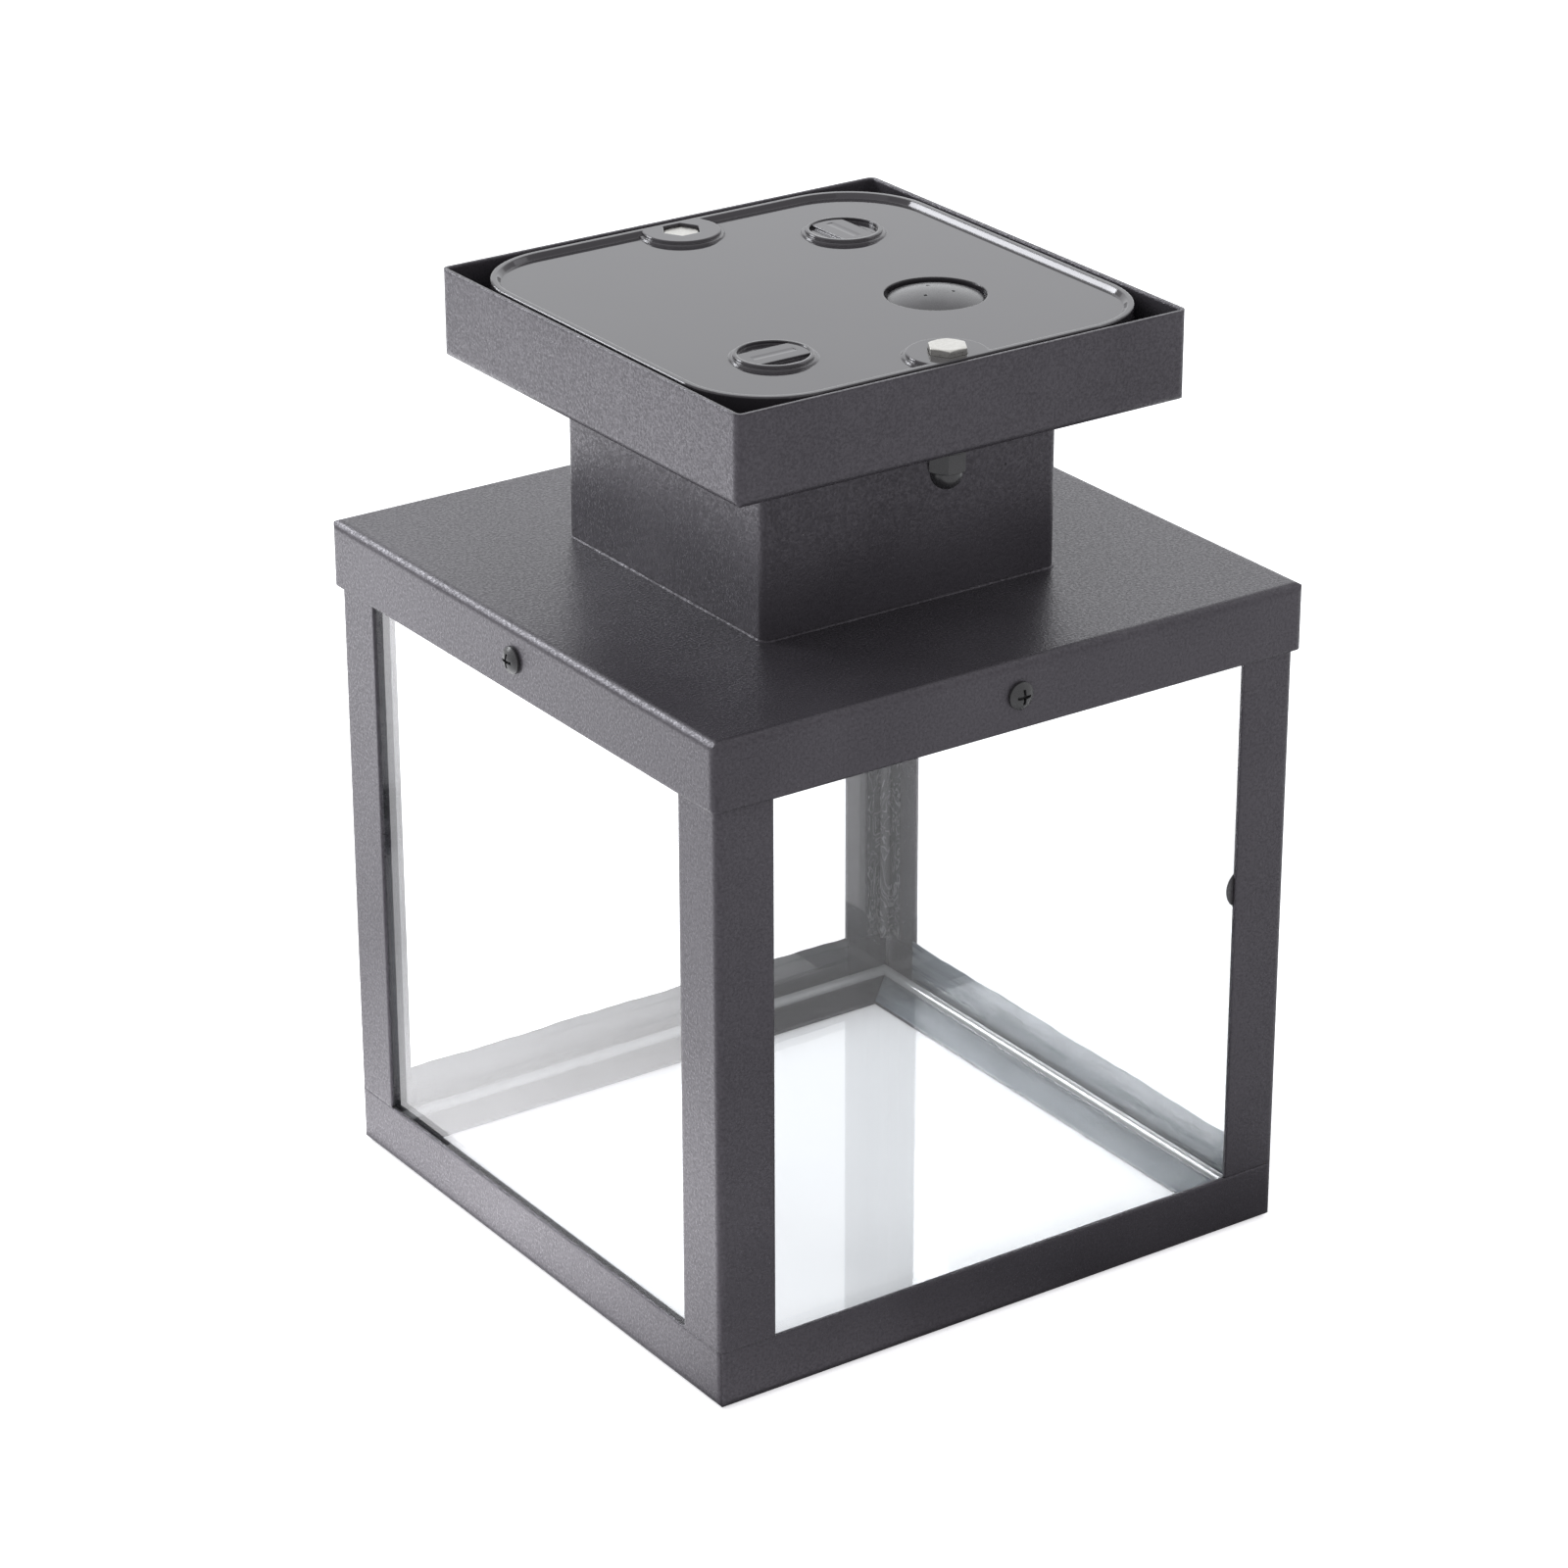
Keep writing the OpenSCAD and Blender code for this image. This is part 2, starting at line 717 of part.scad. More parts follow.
// Hat-shaped strap that hangs the lampholder in the neck
module lamp_bracket() {
    color(zinc) difference() {
        translate([0, bracket_w / 2, 0]) rotate([90, 0, 0]) linear_extrude(bracket_w) {
            translate([-leg_out, holder_top]) square([2 * leg_out, bracket_t]);
            for (m = [0, 1]) {
                mirror([m, 0]) {
                    translate([leg_out - bracket_t, roof_under - bracket_t]) {
                        square([bracket_t, holder_top - roof_under + 2 * bracket_t]);
                    }
                    translate([leg_out - bracket_t, roof_under - bracket_t]) {
                        square([foot_end - leg_out + bracket_t, bracket_t]);
                    }
                }
            }
        }
        drill(0, 0, nipple_r + pocket_play, holder_top, holder_top + bracket_t);
        for (s = [-1, 1]) {
            drill(s * foot_screw_x, 0, screw_r + screw_play, roof_under - bracket_t, roof_under);
        }
    }
}

module bracket_screws() {
    color(zinc) for (s = [-1, 1]) {
        translate([s * foot_screw_x, 0, roof_under - bracket_t]) rotate([180, 0, 0]) {
            pan_screw(bracket_screw_len);
        }
    }
}

module lampholder_body() {
    color(porcelain) translate([0, 0, holder_mouth]) difference() {
        rotate_extrude() polygon([
            [0, 0], [holder_r - holder_edge, 0], [holder_r, holder_edge],
            [holder_r, holder_h - holder_neck_h - holder_edge],
            [holder_r - holder_edge, holder_h - holder_neck_h],
            [holder_neck_r, holder_h - holder_edge],
            [holder_neck_r - holder_edge, holder_h], [0, holder_h]]);
        translate([0, 0, -cut]) cylinder(h = cup_top - holder_mouth + cut, r = shell_r + shell_t + shell_play);
        cylinder(h = holder_h + cut, r = nipple_bore_r);
    }
}

module lampholder_shell() {
    color(brass) translate([0, 0, shell_z]) difference() {
        cylinder(h = shell_h, r = shell_r + shell_t);
        translate([0, 0, -cut]) cylinder(h = shell_h + 2 * cut, r = shell_r);
    }
}

// Centre contact: a disc under the roof of the cup with a tongue that springs down
module lampholder_contact() {
    color(brass) translate([0, 0, cup_top - contact_t]) {
        cylinder(h = contact_t, r = contact_r);
        translate([-contact_w / 2, -contact_l / 2, -contact_drop]) {
            cube([contact_w, contact_l, contact_t]);
            cube([contact_w, contact_t, contact_drop + contact_t / 2]);
        }
    }
}

module lampholder_nipple() {
    color(zinc) translate([0, 0, holder_top]) difference() {
        cylinder(h = nipple_h, r = nipple_r);
        translate([0, 0, -cut]) cylinder(h = nipple_h + 2 * cut, r = nipple_bore_r);
    }
}

module nipple_nut() {
    color(zinc) translate([0, 0, holder_top + bracket_t]) difference() {
        cylinder(h = nipple_nut_h, r = nipple_nut_af / sqrt(3), $fn = 6);
        translate([0, 0, -cut]) cylinder(h = nipple_nut_h + 2 * cut, r = nipple_r + thread_play);
    }
}

// Rubber bush with a flange on both faces of the canopy floor
module lead_bush() {
    color(rubber) difference() {
        union() {
            translate([0, 0, canopy_bottom - bush_flange_t]) cylinder(h = bush_flange_t, r = bush_r + bush_flange);
            translate([0, 0, canopy_bottom]) cylinder(h = canopy_t, r = bush_r);
            translate([0, 0, canopy_floor]) cylinder(h = bush_flange_t, r = bush_r + bush_flange);
        }
        drill(0, 0, bush_bore_r, canopy_bottom - bush_flange_t, canopy_floor + bush_flange_t);
    }
}

// Three-pole block: a thin base that carries one barrel per pole, with a wire funnel at each end
module terminal_block() {
    barrel_w = pole_pitch * pole_share;
    color(porcelain) difference() {
        union() {
            translate([block_x - block_d / 2, -1.5 * pole_pitch, canopy_floor]) {
                cube([block_d, 3 * pole_pitch, block_base_h]);
            }
            translate([block_x - lug_w / 2, lug_y - lug_w / 2, canopy_floor]) cube([lug_w, lug_w, block_base_h]);
            for (k = [-1:1]) {
                translate([block_x - block_d / 2, k * pole_pitch, wire_z]) {
                    rotate([0, 90, 0]) cylinder(h = block_d, r = barrel_w / 2);
                    translate([0, -barrel_w / 2, canopy_floor - wire_z]) {
                        cube([block_d, barrel_w, wire_z - canopy_floor]);
                    }
                }
                for (e = [-1, 1]) {
                    translate([block_x + e * block_d / 4, k * pole_pitch, wire_z]) {
                        cylinder(h = block_h - wire_z + canopy_floor, r = barrel_w / 2);
                    }
                }
            }
        }
        for (k = [-1:1], e = [-1, 1]) {
            translate([block_x + e * (block_d / 2 - funnel_depth / 2), k * pole_pitch, wire_z]) {
                rotate([0, 90, 0]) cylinder(h = funnel_depth + cut, r = funnel_r, center = true);
            }
            translate([block_x + e * block_d / 4, k * pole_pitch, canopy_floor + block_h - terminal_screw_h]) {
                cylinder(h = terminal_screw_h + cut, r = terminal_screw_r + screw_play);
            }
        }
        drill(block_x, lug_y, screw_r + screw_play, canopy_floor, canopy_floor + block_base_h);
    }
}

module terminal_screws() {
    color(brass) for (k = [-1:1], e = [-1, 1]) {
        translate([block_x + e * block_d / 4, k * pole_pitch, canopy_floor + block_h - terminal_screw_h]) {
            difference() {
                cylinder(h = terminal_screw_h - seat, r = terminal_screw_r);
                translate([-terminal_screw_r, -recess_w / 2, terminal_screw_h - seat - recess_w]) {
                    cube([2 * terminal_screw_r, recess_w, recess_w + cut]);
                }
            }
        }
    }
}

// Screws that stand in the canopy floor: one holds the terminal block, one the earth tag
module floor_screws() {
    color(zinc) {
        translate([block_x, lug_y, canopy_floor + block_base_h]) pan_screw(screw_len);
        translate([earth_at[0], earth_at[1], canopy_floor + tag_t]) pan_screw(screw_len);
    }
}

// Ring under the earth screw with a crimped barrel toward the front
module earth_tag() {
    color(brass) translate([earth_at[0], earth_at[1], canopy_floor]) difference() {
        union() {
            cylinder(h = tag_t, r = tag_r);
            translate([-tag_t, -tag_r - barrel_l / 2, 0]) cube([2 * tag_t, barrel_l / 2 + tag_t, tag_t]);
            translate([0, -tag_r - barrel_gap, barrel_r]) rotate([90, 0, 0]) cylinder(h = barrel_l, r = barrel_r);
        }
        translate([0, -tag_r - barrel_l / 2, barrel_r]) rotate([90, 0, 0]) {
            cylinder(h = barrel_l, r = lead_r + seat);
        }
        translate([0, 0, -cut]) cylinder(h = tag_t + 2 * cut, r = screw_r + pocket_play);
    }
}

// Smooth path through the given points
function along(p, i, u) = let(
    a = p[max(i - 1, 0)],
    b = p[i],
    c = p[i + 1],
    d = p[min(i + 2, len(p) - 1)]
) b + (c - a) * u / 2 + (2 * a - 5 * b + 4 * c - d) * u * u / 2 + (3 * b - a - 3 * c + d) * u * u * u / 2;
function smooth(p, m) = [for (i = [0:len(p) - 2], s = [0:m - 1]) along(p, i, s / m), p[len(p) - 1]];
function unit(v) = v / norm(v);
function ring(c, t, side_way, r) = let(
    u = unit(cross(t, side_way)),
    v = cross(u, t)
) [for (k = [0:lead_sides - 1]) c + r * (cos(360 * k / lead_sides) * u + sin(360 * k / lead_sides) * v)];

// Round lead along a path that never runs parallel to side_way
module lead(p, side_way) {
    q = smooth(p, path_steps);
    last = len(q) - 1;
    n = lead_sides;
    rings = [for (i = [0:last]) ring(q[i], unit(q[min(i + 1, last)] - q[max(i - 1, 0)]), side_way, lead_r)];
    polyhedron(
        points = [for (r = rings, v = r) v],
        faces = [
            [for (k = [0:n - 1]) k],
            for (i = [0:last - 1], k = [0:n - 1]) [i * n + k, (i + 1) * n + k, (i + 1) * n + (k + 1) % n],
            for (i = [0:last - 1], k = [0:n - 1]) [i * n + k, (i + 1) * n + (k + 1) % n, i * n + (k + 1) % n],
            [for (k = [n - 1:-1:0]) last * n + k]]);
}

module lead_live() {
    color([0.35, 0.2, 0.1]) lead(live_path, [0, 1, 0]);
}

module lead_neutral() {
    color([0.1, 0.2, 0.6]) lead(neutral_path, [0, 1, 0]);
}

module lead_earth() {
    color([0.2, 0.55, 0.2]) lead(earth_path, [0, 0, 1]);
}

bottom_rail(0);  // bottom_rail_front
bottom_rail(1);  // bottom_rail_right
bottom_rail(2);  // bottom_rail_back
bottom_rail(3);  // bottom_rail_left
post(0);  // post_front_left
post(1);  // post_front_right
post(2);  // post_back_right
post(3);  // post_back_left
top_rail(0);  // top_rail_front
top_rail(1);  // top_rail_right
top_rail(2);  // top_rail_back
top_rail(3);  // top_rail_left
side_pane(0);  // pane_front
side_pane(1);  // pane_right
side_pane(2);  // pane_back
side_pane(3);  // pane_left
pane_base();
corner_sealant();
base_sealant();
glazing_pads();
roof_pan();
skirt_screws();
skirt_nuts();
neck_tube();
canopy();
ceiling_plate();
plate_spacers();
cable_grommet();
hanging_bolt(-1, bolt_travel);  // bolt_front
bolt_washer(-1, bolt_travel);  // washer_front
cap_nut(-1, bolt_travel);  // cap_nut_front
hanging_bolt(1, 0);  // bolt_back
bolt_washer(1, 0);  // washer_back
cap_nut(1, 0);  // cap_nut_back
lamp_bracket();
bracket_screws();
lampholder_body();
lampholder_shell();
lampholder_contact();
lampholder_nipple();
nipple_nut();
lead_bush();
terminal_block();
terminal_screws();
floor_screws();
earth_tag();
lead_live();
lead_neutral();
lead_earth();
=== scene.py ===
# %% [markdown]
# # A porch ceiling lantern, built up in Blender
#
# The lantern is a small metal house for one lamp. A folded canopy box covers the ceiling plate, a square neck
# carries a folded roof pan, and a glazed cage of angle sections slips up inside the pan's skirt.
#
# The rigid pieces are already there when the script starts: they are the frame, with their real sizes, and
# every one of them keeps its place. The lesson is about what turns them into a photograph: the powder coat,
# the float glass, the silicone and its films, the painted reflection on the right rail, the weld beads, the
# rolled lamp thread, and the light.
#
# Everything is in metres, and +Z points to the ceiling.

# %%
import json
import math

import bpy
import numpy as np
from mathutils import Matrix, Vector


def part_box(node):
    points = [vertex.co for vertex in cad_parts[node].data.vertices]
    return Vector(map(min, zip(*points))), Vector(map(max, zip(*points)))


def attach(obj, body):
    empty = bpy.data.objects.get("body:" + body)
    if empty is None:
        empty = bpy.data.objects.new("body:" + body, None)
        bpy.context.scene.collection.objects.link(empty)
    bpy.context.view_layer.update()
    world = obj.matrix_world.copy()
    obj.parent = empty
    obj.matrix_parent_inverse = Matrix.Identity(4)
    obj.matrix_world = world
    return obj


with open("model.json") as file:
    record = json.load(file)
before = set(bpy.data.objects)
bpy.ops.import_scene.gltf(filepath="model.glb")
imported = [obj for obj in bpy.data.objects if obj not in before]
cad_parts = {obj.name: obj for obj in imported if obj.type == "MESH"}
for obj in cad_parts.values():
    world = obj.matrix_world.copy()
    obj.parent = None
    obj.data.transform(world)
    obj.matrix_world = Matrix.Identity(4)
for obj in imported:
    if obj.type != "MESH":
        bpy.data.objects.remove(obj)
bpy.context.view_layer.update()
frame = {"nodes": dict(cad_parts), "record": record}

nodes = frame["nodes"]
slot_of = {row["node"]: row["material_slot"] for row in frame["record"]["subparts"]}
MM = 0.001
SHEET = 1.2 * MM
print("nodes in the frame:", len(nodes))

# %% [markdown]
# ## The camera
#
# The photograph was taken from the front left and a little above, with a long lens, so the upright edges
# converge only slightly. The place and the angles come from a least-squares fit of the lantern's straight
# edges. The fit gives the focal length in pixels, and the sensor's width turns it into millimetres.

# %%
CAMERA_PLACE = (-0.7713, -1.1101, 0.7343)
CAMERA_AZIMUTH, CAMERA_ELEVATION, CAMERA_ROLL = -34.47, 24.109, 0.161
FOCAL_PIXELS, PICTURE_PIXELS = 5186.5, 1600
SENSOR_WIDTH_MM = 36
NEAREST, FARTHEST = 0.05, 50


def camera_axes(azimuth, elevation, roll):
    """The camera's right, up and back vectors. Azimuth 0 looks along +Y. The roll turns right towards down."""
    a, e, r = (math.radians(v) for v in (azimuth, elevation, roll))
    back = Vector((math.sin(a) * math.cos(e), -math.cos(a) * math.cos(e), math.sin(e)))
    right = (-back).cross(Vector((0, 0, 1))).normalized()
    down = (-back).cross(right)
    return right * math.cos(r) + down * math.sin(r), right * math.sin(r) - down * math.cos(r), back


scene = bpy.context.scene
camera = bpy.data.objects.new("camera", bpy.data.cameras.new("camera"))
scene.collection.objects.link(camera)
right, up, back = camera_axes(CAMERA_AZIMUTH, CAMERA_ELEVATION, CAMERA_ROLL)
turn = Matrix((right, up, back)).transposed().to_4x4()
camera.matrix_world = Matrix.Translation(CAMERA_PLACE) @ turn
camera.data.sensor_width = SENSOR_WIDTH_MM
camera.data.lens = SENSOR_WIDTH_MM * (FOCAL_PIXELS / PICTURE_PIXELS)
camera.data.clip_start, camera.data.clip_end = NEAREST, FARTHEST
scene.camera = camera
scene.view_settings.view_transform = "Standard"
print("lens: %.1f mm" % camera.data.lens)

# %% [markdown]
# ## A small language for materials
#
# A procedural material is a graph of nodes, and a graph is easier to read when each node is one line. The
# class below adds nodes, sets their unlinked inputs by name, and links whatever is handed in as a socket.
# Blender's noise runs from 0 to 1 in name, but hardly leaves the stretch from 0.3 to 0.7, so a finish that
# should use its whole range of tones is spread over that stretch.

# %%
NOISE_LOW, NOISE_HIGH = 0.3, 0.7
BEVEL_SAMPLES = 6


class Graph:
    """The node graph of one material. place gives Object coordinates, so a pattern keeps its real size."""

    def __init__(self, name):
        self.material = bpy.data.materials.new(name)
        self.material.use_nodes = True
        self.tree = self.material.node_tree
        self.tree.nodes.clear()
        self.output = self.tree.nodes.new("ShaderNodeOutputMaterial")
        self.place = self.add("ShaderNodeTexCoord").outputs["Object"]

    def add(self, kind, inputs=None, **settings):
        """A new node with its settings; an input is either a value or another node's socket."""
        node = self.tree.nodes.new(kind)
        for key, value in settings.items():
            setattr(node, key, value)
        for key, value in (inputs or {}).items():
            if isinstance(value, bpy.types.NodeSocket):
                self.tree.links.new(value, node.inputs[key])
            else:
                node.inputs[key].default_value = value
        return node

    def noise(self, size_mm, detail=3.0, roughness=0.55, distortion=0.0, place=None):
        """Soft noise whose blobs are about size_mm wide."""
        values = {"Vector": place or self.place, "Scale": 1000 / size_mm, "Detail": detail,
                  "Roughness": roughness, "Distortion": distortion}
        return self.add("ShaderNodeTexNoise", values).outputs["Fac"]

    def stretch(self, factors):
        """Object coordinates, multiplied along each axis."""
        return self.add("ShaderNodeMapping", {"Vector": self.place, "Scale": factors}).outputs["Vector"]

    def span(self, value, low, high, to_low, to_high):
        """Maps low..high to to_low..to_high and holds the ends."""
        values = {"Value": value, "From Min": low, "From Max": high, "To Min": to_low, "To Max": to_high}
        return self.add("ShaderNodeMapRange", values).outputs["Result"]

    def spread(self, noise, to_low, to_high):
        """Spreads the usual range of a noise from to_low to to_high."""
        return self.span(noise, NOISE_LOW, NOISE_HIGH, to_low, to_high)

    def maths(self, operation, a, b=0.0):
        """One arithmetic step."""
        return self.add("ShaderNodeMath", {0: a, 1: b}, operation=operation).outputs[0]

    def blend(self, factor, a, b):
        """Colour a where factor is 0 and colour b where it is 1."""
        return self.add("ShaderNodeMix", {0: factor, 6: a, 7: b}, data_type="RGBA").outputs[2]

    def bump(self, height, depth_mm, strength=1.0, normal=None):
        """A surface normal tilted by a height of depth_mm at most."""
        values = {"Height": height, "Distance": depth_mm * MM, "Strength": strength}
        if normal is not None:
            values["Normal"] = normal
        return self.add("ShaderNodeBump", values).outputs["Normal"]

    def soft_edge(self, radius_mm):
        """The normal of an edge rounded to radius_mm, as paint and moulding round it."""
        return self.add("ShaderNodeBevel", {"Radius": radius_mm * MM}, samples=BEVEL_SAMPLES).outputs["Normal"]

    def finish(self, shader):
        """Links the shader to the output and returns the material."""
        self.tree.links.new(shader, self.output.inputs["Surface"])
        return self.material

    def principled(self, inputs):
        """Finishes the material with one Principled shader that has these inputs."""
        return self.finish(self.add("ShaderNodeBsdfPrincipled", inputs).outputs["BSDF"])


print("a graph can:", ", ".join(name for name in vars(Graph) if not name.startswith("_")))

# %% [markdown]
# ## Powder coat
#
# Powder paint is sprayed on dry and melts into a skin about 0.08 mm thick. It keeps a fine grain, because the
# powder never levels out completely, and a softer orange peel under it. On black paint nearly everything that
# shows is this skin's gloss, so the grain lives in the bump and in the gloss: its crests are smoother and mirror
# more than its hollows, which makes the satin sparkle, and the colour hardly moves. Green is mirrored a little
# less than red and blue, which gives the paint its plum cast.
#
# On the inside of the right bottom rail the same paint carries a painted reflection of the lamps in the glass:
# a bluish grey streak, drawn out along the rail. It stops at the fold so that the outside stays black.

# %%
# The last size here, and the floor height below, shape the painted reflection on the right bottom rail.
GRAIN_MM, PEEL_MM, CLOUD_MM, REFLECTION_STREAK_MM = 0.8, 3.0, 45, 20
REFLECTION_FLOOR = 1.1 * MM
PITS = {"spacing_mm": 38, "wobble_mm": 2.5, "wobble": 0.012, "radii": (0.014, 0.02), "strength": 1.0}


def sparse_spots(g, spacing_mm, wobble_mm, wobble, radii, strength):
    """Spots about spacing_mm apart: strength within radii[0] of a cell's point, fading to 0 at radii[1].

    Radii are shares of the spacing, and a noise of wobble_mm bends each spot's border.
    """
    values = {"Vector": g.place, "Scale": 1000 / spacing_mm}
    cells = g.add("ShaderNodeTexVoronoi", values, feature="F1").outputs["Distance"]
    bent = g.maths("ADD", cells, g.maths("MULTIPLY", g.noise(wobble_mm), wobble))
    return g.span(bent, *radii, strength, 0.0)


def add_painted_reflection(g, coat, reflection_inside):
    """The coat's colour with a streaky bluish grey painted reflection left of an X in metres, and above the floor.
    """
    split = g.add("ShaderNodeSeparateXYZ", {"Vector": g.place})
    inside = g.maths("LESS_THAN", split.outputs["X"], reflection_inside)
    above = g.maths("GREATER_THAN", split.outputs["Z"], REFLECTION_FLOOR)
    streaks = g.noise(REFLECTION_STREAK_MM, detail=4, place=g.stretch((3, 0.6, 3)))
    tone = g.span(streaks, 0.35, 0.65, 0.0, 1.0)
    # painted reflection: bluish grey streaks that stand in for the lamps mirrored by the glass
    reflection_tone = g.blend(tone, (0.16, 0.185, 0.21, 1), (0.31, 0.34, 0.375, 1))
    return g.blend(g.maths("MULTIPLY", inside, above), coat, reflection_tone)


def powder_coat(name, reflection_inside=None):
    """Satin black with a 0.8 mm grain over a 3 mm orange peel, and a pit or two where dust lay under the paint."""
    g = Graph(name)
    grain, peel = g.noise(GRAIN_MM, detail=2, roughness=0.6), g.noise(PEEL_MM, detail=2)
    tone = g.span(g.maths("ADD", grain, g.noise(CLOUD_MM, detail=2)), 0.7, 1.3, 0.0, 1.0)
    coat = g.blend(tone, (0.027, 0.0245, 0.029, 1), (0.048, 0.0445, 0.051, 1))
    # a painted reflection on the inner face of the right bottom rail, when its X is given
    if reflection_inside is not None:
        coat = add_painted_reflection(g, coat, reflection_inside)
    pit = sparse_spots(g, **PITS)
    satin = g.span(grain, 0.40, 0.72, 0.41, 0.20)
    return g.principled({
        "Base Color": g.blend(pit, coat, (0.004, 0.004, 0.004, 1)),
        "Roughness": g.maths("ADD", satin, g.maths("MULTIPLY", pit, 0.4)),
        "Specular IOR Level": g.span(grain, 0.38, 0.62, 0.41, 0.58),
        "IOR": 1.51, "Specular Tint": (0.955, 0.90, 1.0, 1),
        "Normal": g.bump(grain, 0.09, 1.0, g.bump(peel, 0.07, 0.4, g.soft_edge(1.2))),
    })


def black_hardware():
    """Black cap nuts and screws: smoother than the sheet, with a very fine grain."""
    g = Graph("black_hardware")
    fine = g.noise(0.25, detail=3)
    return g.principled({
        "Base Color": g.blend(g.noise(4), (0.018, 0.018, 0.019, 1), (0.028, 0.027, 0.029, 1)),
        "Roughness": g.span(fine, 0.35, 0.65, 0.24, 0.36),
        "IOR": 1.6,
        "Normal": g.bump(fine, 0.02, 0.4, g.soft_edge(0.35)),
    })


print("paint: grain %.1f mm, orange peel %.1f mm, a pit every %d mm" % (GRAIN_MM, PEEL_MM, PITS["spacing_mm"]))

# %% [markdown]
# ## Float glass
#
# The panes are plain float glass. It shows itself by its reflections, which are strongest where the eye meets
# it at a slant, and by a few fine specks. Light rays on their way to a lamp pass it as if it were a faintly
# tinted nothing: without that the cage would stand in its own black shadow.

# %%
DUST = {"spacing_mm": 26, "wobble_mm": 9, "wobble": 0.02, "radii": (0.012, 0.017), "strength": 0.5}


def float_glass():
    """Clear glass with sparse specks of dust; lamps' light passes straight through."""
    g = Graph("float_glass")
    glass = g.add("ShaderNodeBsdfPrincipled", {
        "Base Color": (0.988, 0.991, 0.993, 1), "Roughness": 0.0, "IOR": 1.52, "Transmission Weight": 1.0,
    })
    speck = sparse_spots(g, **DUST)
    dust = g.add("ShaderNodeBsdfDiffuse", {"Color": (0.8, 0.8, 0.8, 1), "Roughness": 0.6})
    dusty = g.add("ShaderNodeMixShader", {0: speck, 1: glass.outputs["BSDF"], 2: dust.outputs["BSDF"]})
    clear = g.add("ShaderNodeBsdfTransparent", {"Color": (0.93, 0.94, 0.945, 1)})
    path = g.add("ShaderNodeLightPath")
    shadow = g.maths("MAXIMUM", path.outputs["Is Shadow Ray"], path.outputs["Is Diffuse Ray"])
    mixed = g.add("ShaderNodeMixShader", {0: shadow, 1: dusty.outputs[0], 2: clear.outputs[0]})
    return g.finish(mixed.outputs[0])


print("glass: a speck of dust every %d mm" % DUST["spacing_mm"])

# %% [markdown]
# ## Silicone
#
# The panes stick to the angle sections with silicone. It squeezes out as a small rounded bead along the base
# pane, and between glass and metal it spreads into a wavy film that shows through the glass. The bead is wet
# and glossy, so a clear coat over a cloudy body gives the bright line that runs along it.

# %%
SQUEEZE_WAVE_MM, SQUEEZE_RIMS, RIM_WIDTH = 7, 6.0, 0.14


def clear_silicone():
    """Cloudy, partly clear sealant with a wet, slightly lumpy skin."""
    g = Graph("clear_silicone")
    lumps = g.noise(2.5, detail=3, distortion=0.6)
    return g.principled({
        "Base Color": g.blend(lumps, (0.52, 0.53, 0.54, 1), (0.70, 0.705, 0.715, 1)),
        "Roughness": g.spread(lumps, 0.05, 0.14),
        "IOR": 1.41, "Transmission Weight": 0.4, "Coat Weight": 1.0, "Coat Roughness": 0.06, "Coat IOR": 1.6,
        "Normal": g.bump(lumps, 0.2, 0.6),
    })


def squeezed_silicone():
    """The film behind the glass: dark where it wets the paint, lighter in wavy rims where it lets go.

    The rims are level lines of a noise: they lie where its value times SQUEEZE_RIMS is a whole number and a half.
    """
    g = Graph("squeezed_silicone")
    wave = g.noise(SQUEEZE_WAVE_MM, detail=2, distortion=2.5, place=g.stretch((1, 1, 0.45)))
    level = g.maths("FRACT", g.maths("MULTIPLY", wave, SQUEEZE_RIMS))
    line = g.span(g.maths("ABSOLUTE", g.maths("SUBTRACT", level, 0.5)), 0.0, RIM_WIDTH, 1.0, 0.0)
    return g.principled({
        "Base Color": g.blend(line, (0.075, 0.073, 0.078, 1), (0.34, 0.335, 0.35, 1)),
        "Roughness": g.spread(wave, 0.25, 0.5),
        "Normal": g.bump(line, 0.2, 0.5),
    })


print("squeezed sealant: waves of %d mm with %d level lines" % (SQUEEZE_WAVE_MM, SQUEEZE_RIMS))

# %% [markdown]
# ## Moulded plastic and rubber
#
# The ceiling plate is injection moulded and nearly as shiny as the polished mould. Up close the surface swims
# a little, since the plastic shrinks over its ribs, and the gloss is hazy in places. The cable seal is softer
# and duller, with a grey bloom. The lead sheaths are the same kind of moulding in other colours.

# %%
SINK_MM, HAZE_MM = 24, 11
STRIPE_LEAN, STRIPES = -0.6, 2600.0


def gloss_plastic():
    """Black moulding: faint sink marks of 24 mm, a breath of haze in the gloss, and moulded edges."""
    g = Graph("gloss_plastic")
    sink, haze = g.noise(SINK_MM, detail=1), g.noise(HAZE_MM, detail=3)
    return g.principled({
        "Base Color": g.blend(g.noise(30), (0.022, 0.020, 0.023, 1), (0.029, 0.027, 0.030, 1)),
        "Roughness": g.spread(haze, 0.055, 0.095),
        "IOR": 1.53, "Specular Tint": (0.985, 0.955, 1.0, 1),
        "Normal": g.bump(sink, 0.05, 0.2, g.soft_edge(0.7)),
    })


def soft_rubber():
    """Black rubber with a low shine and a grey bloom."""
    g = Graph("soft_rubber")
    fine = g.noise(0.4, detail=4)
    return g.principled({
        "Base Color": g.blend(g.noise(5, detail=4), (0.050, 0.049, 0.052, 1), (0.085, 0.083, 0.087, 1)),
        "Roughness": g.spread(fine, 0.20, 0.32),
        "Normal": g.bump(fine, 0.02, 0.3, g.soft_edge(0.3)),
    })


def lead_sheath(name, dark, light):
    """Smooth insulation of a lead, between two near colours."""
    g = Graph(name)
    fine = g.noise(0.6, detail=3)
    return g.principled({
        "Base Color": g.blend(g.noise(6), (*dark, 1), (*light, 1)),
        "Roughness": g.spread(fine, 0.35, 0.45),
        "Normal": g.bump(fine, 0.01, 0.3),
    })


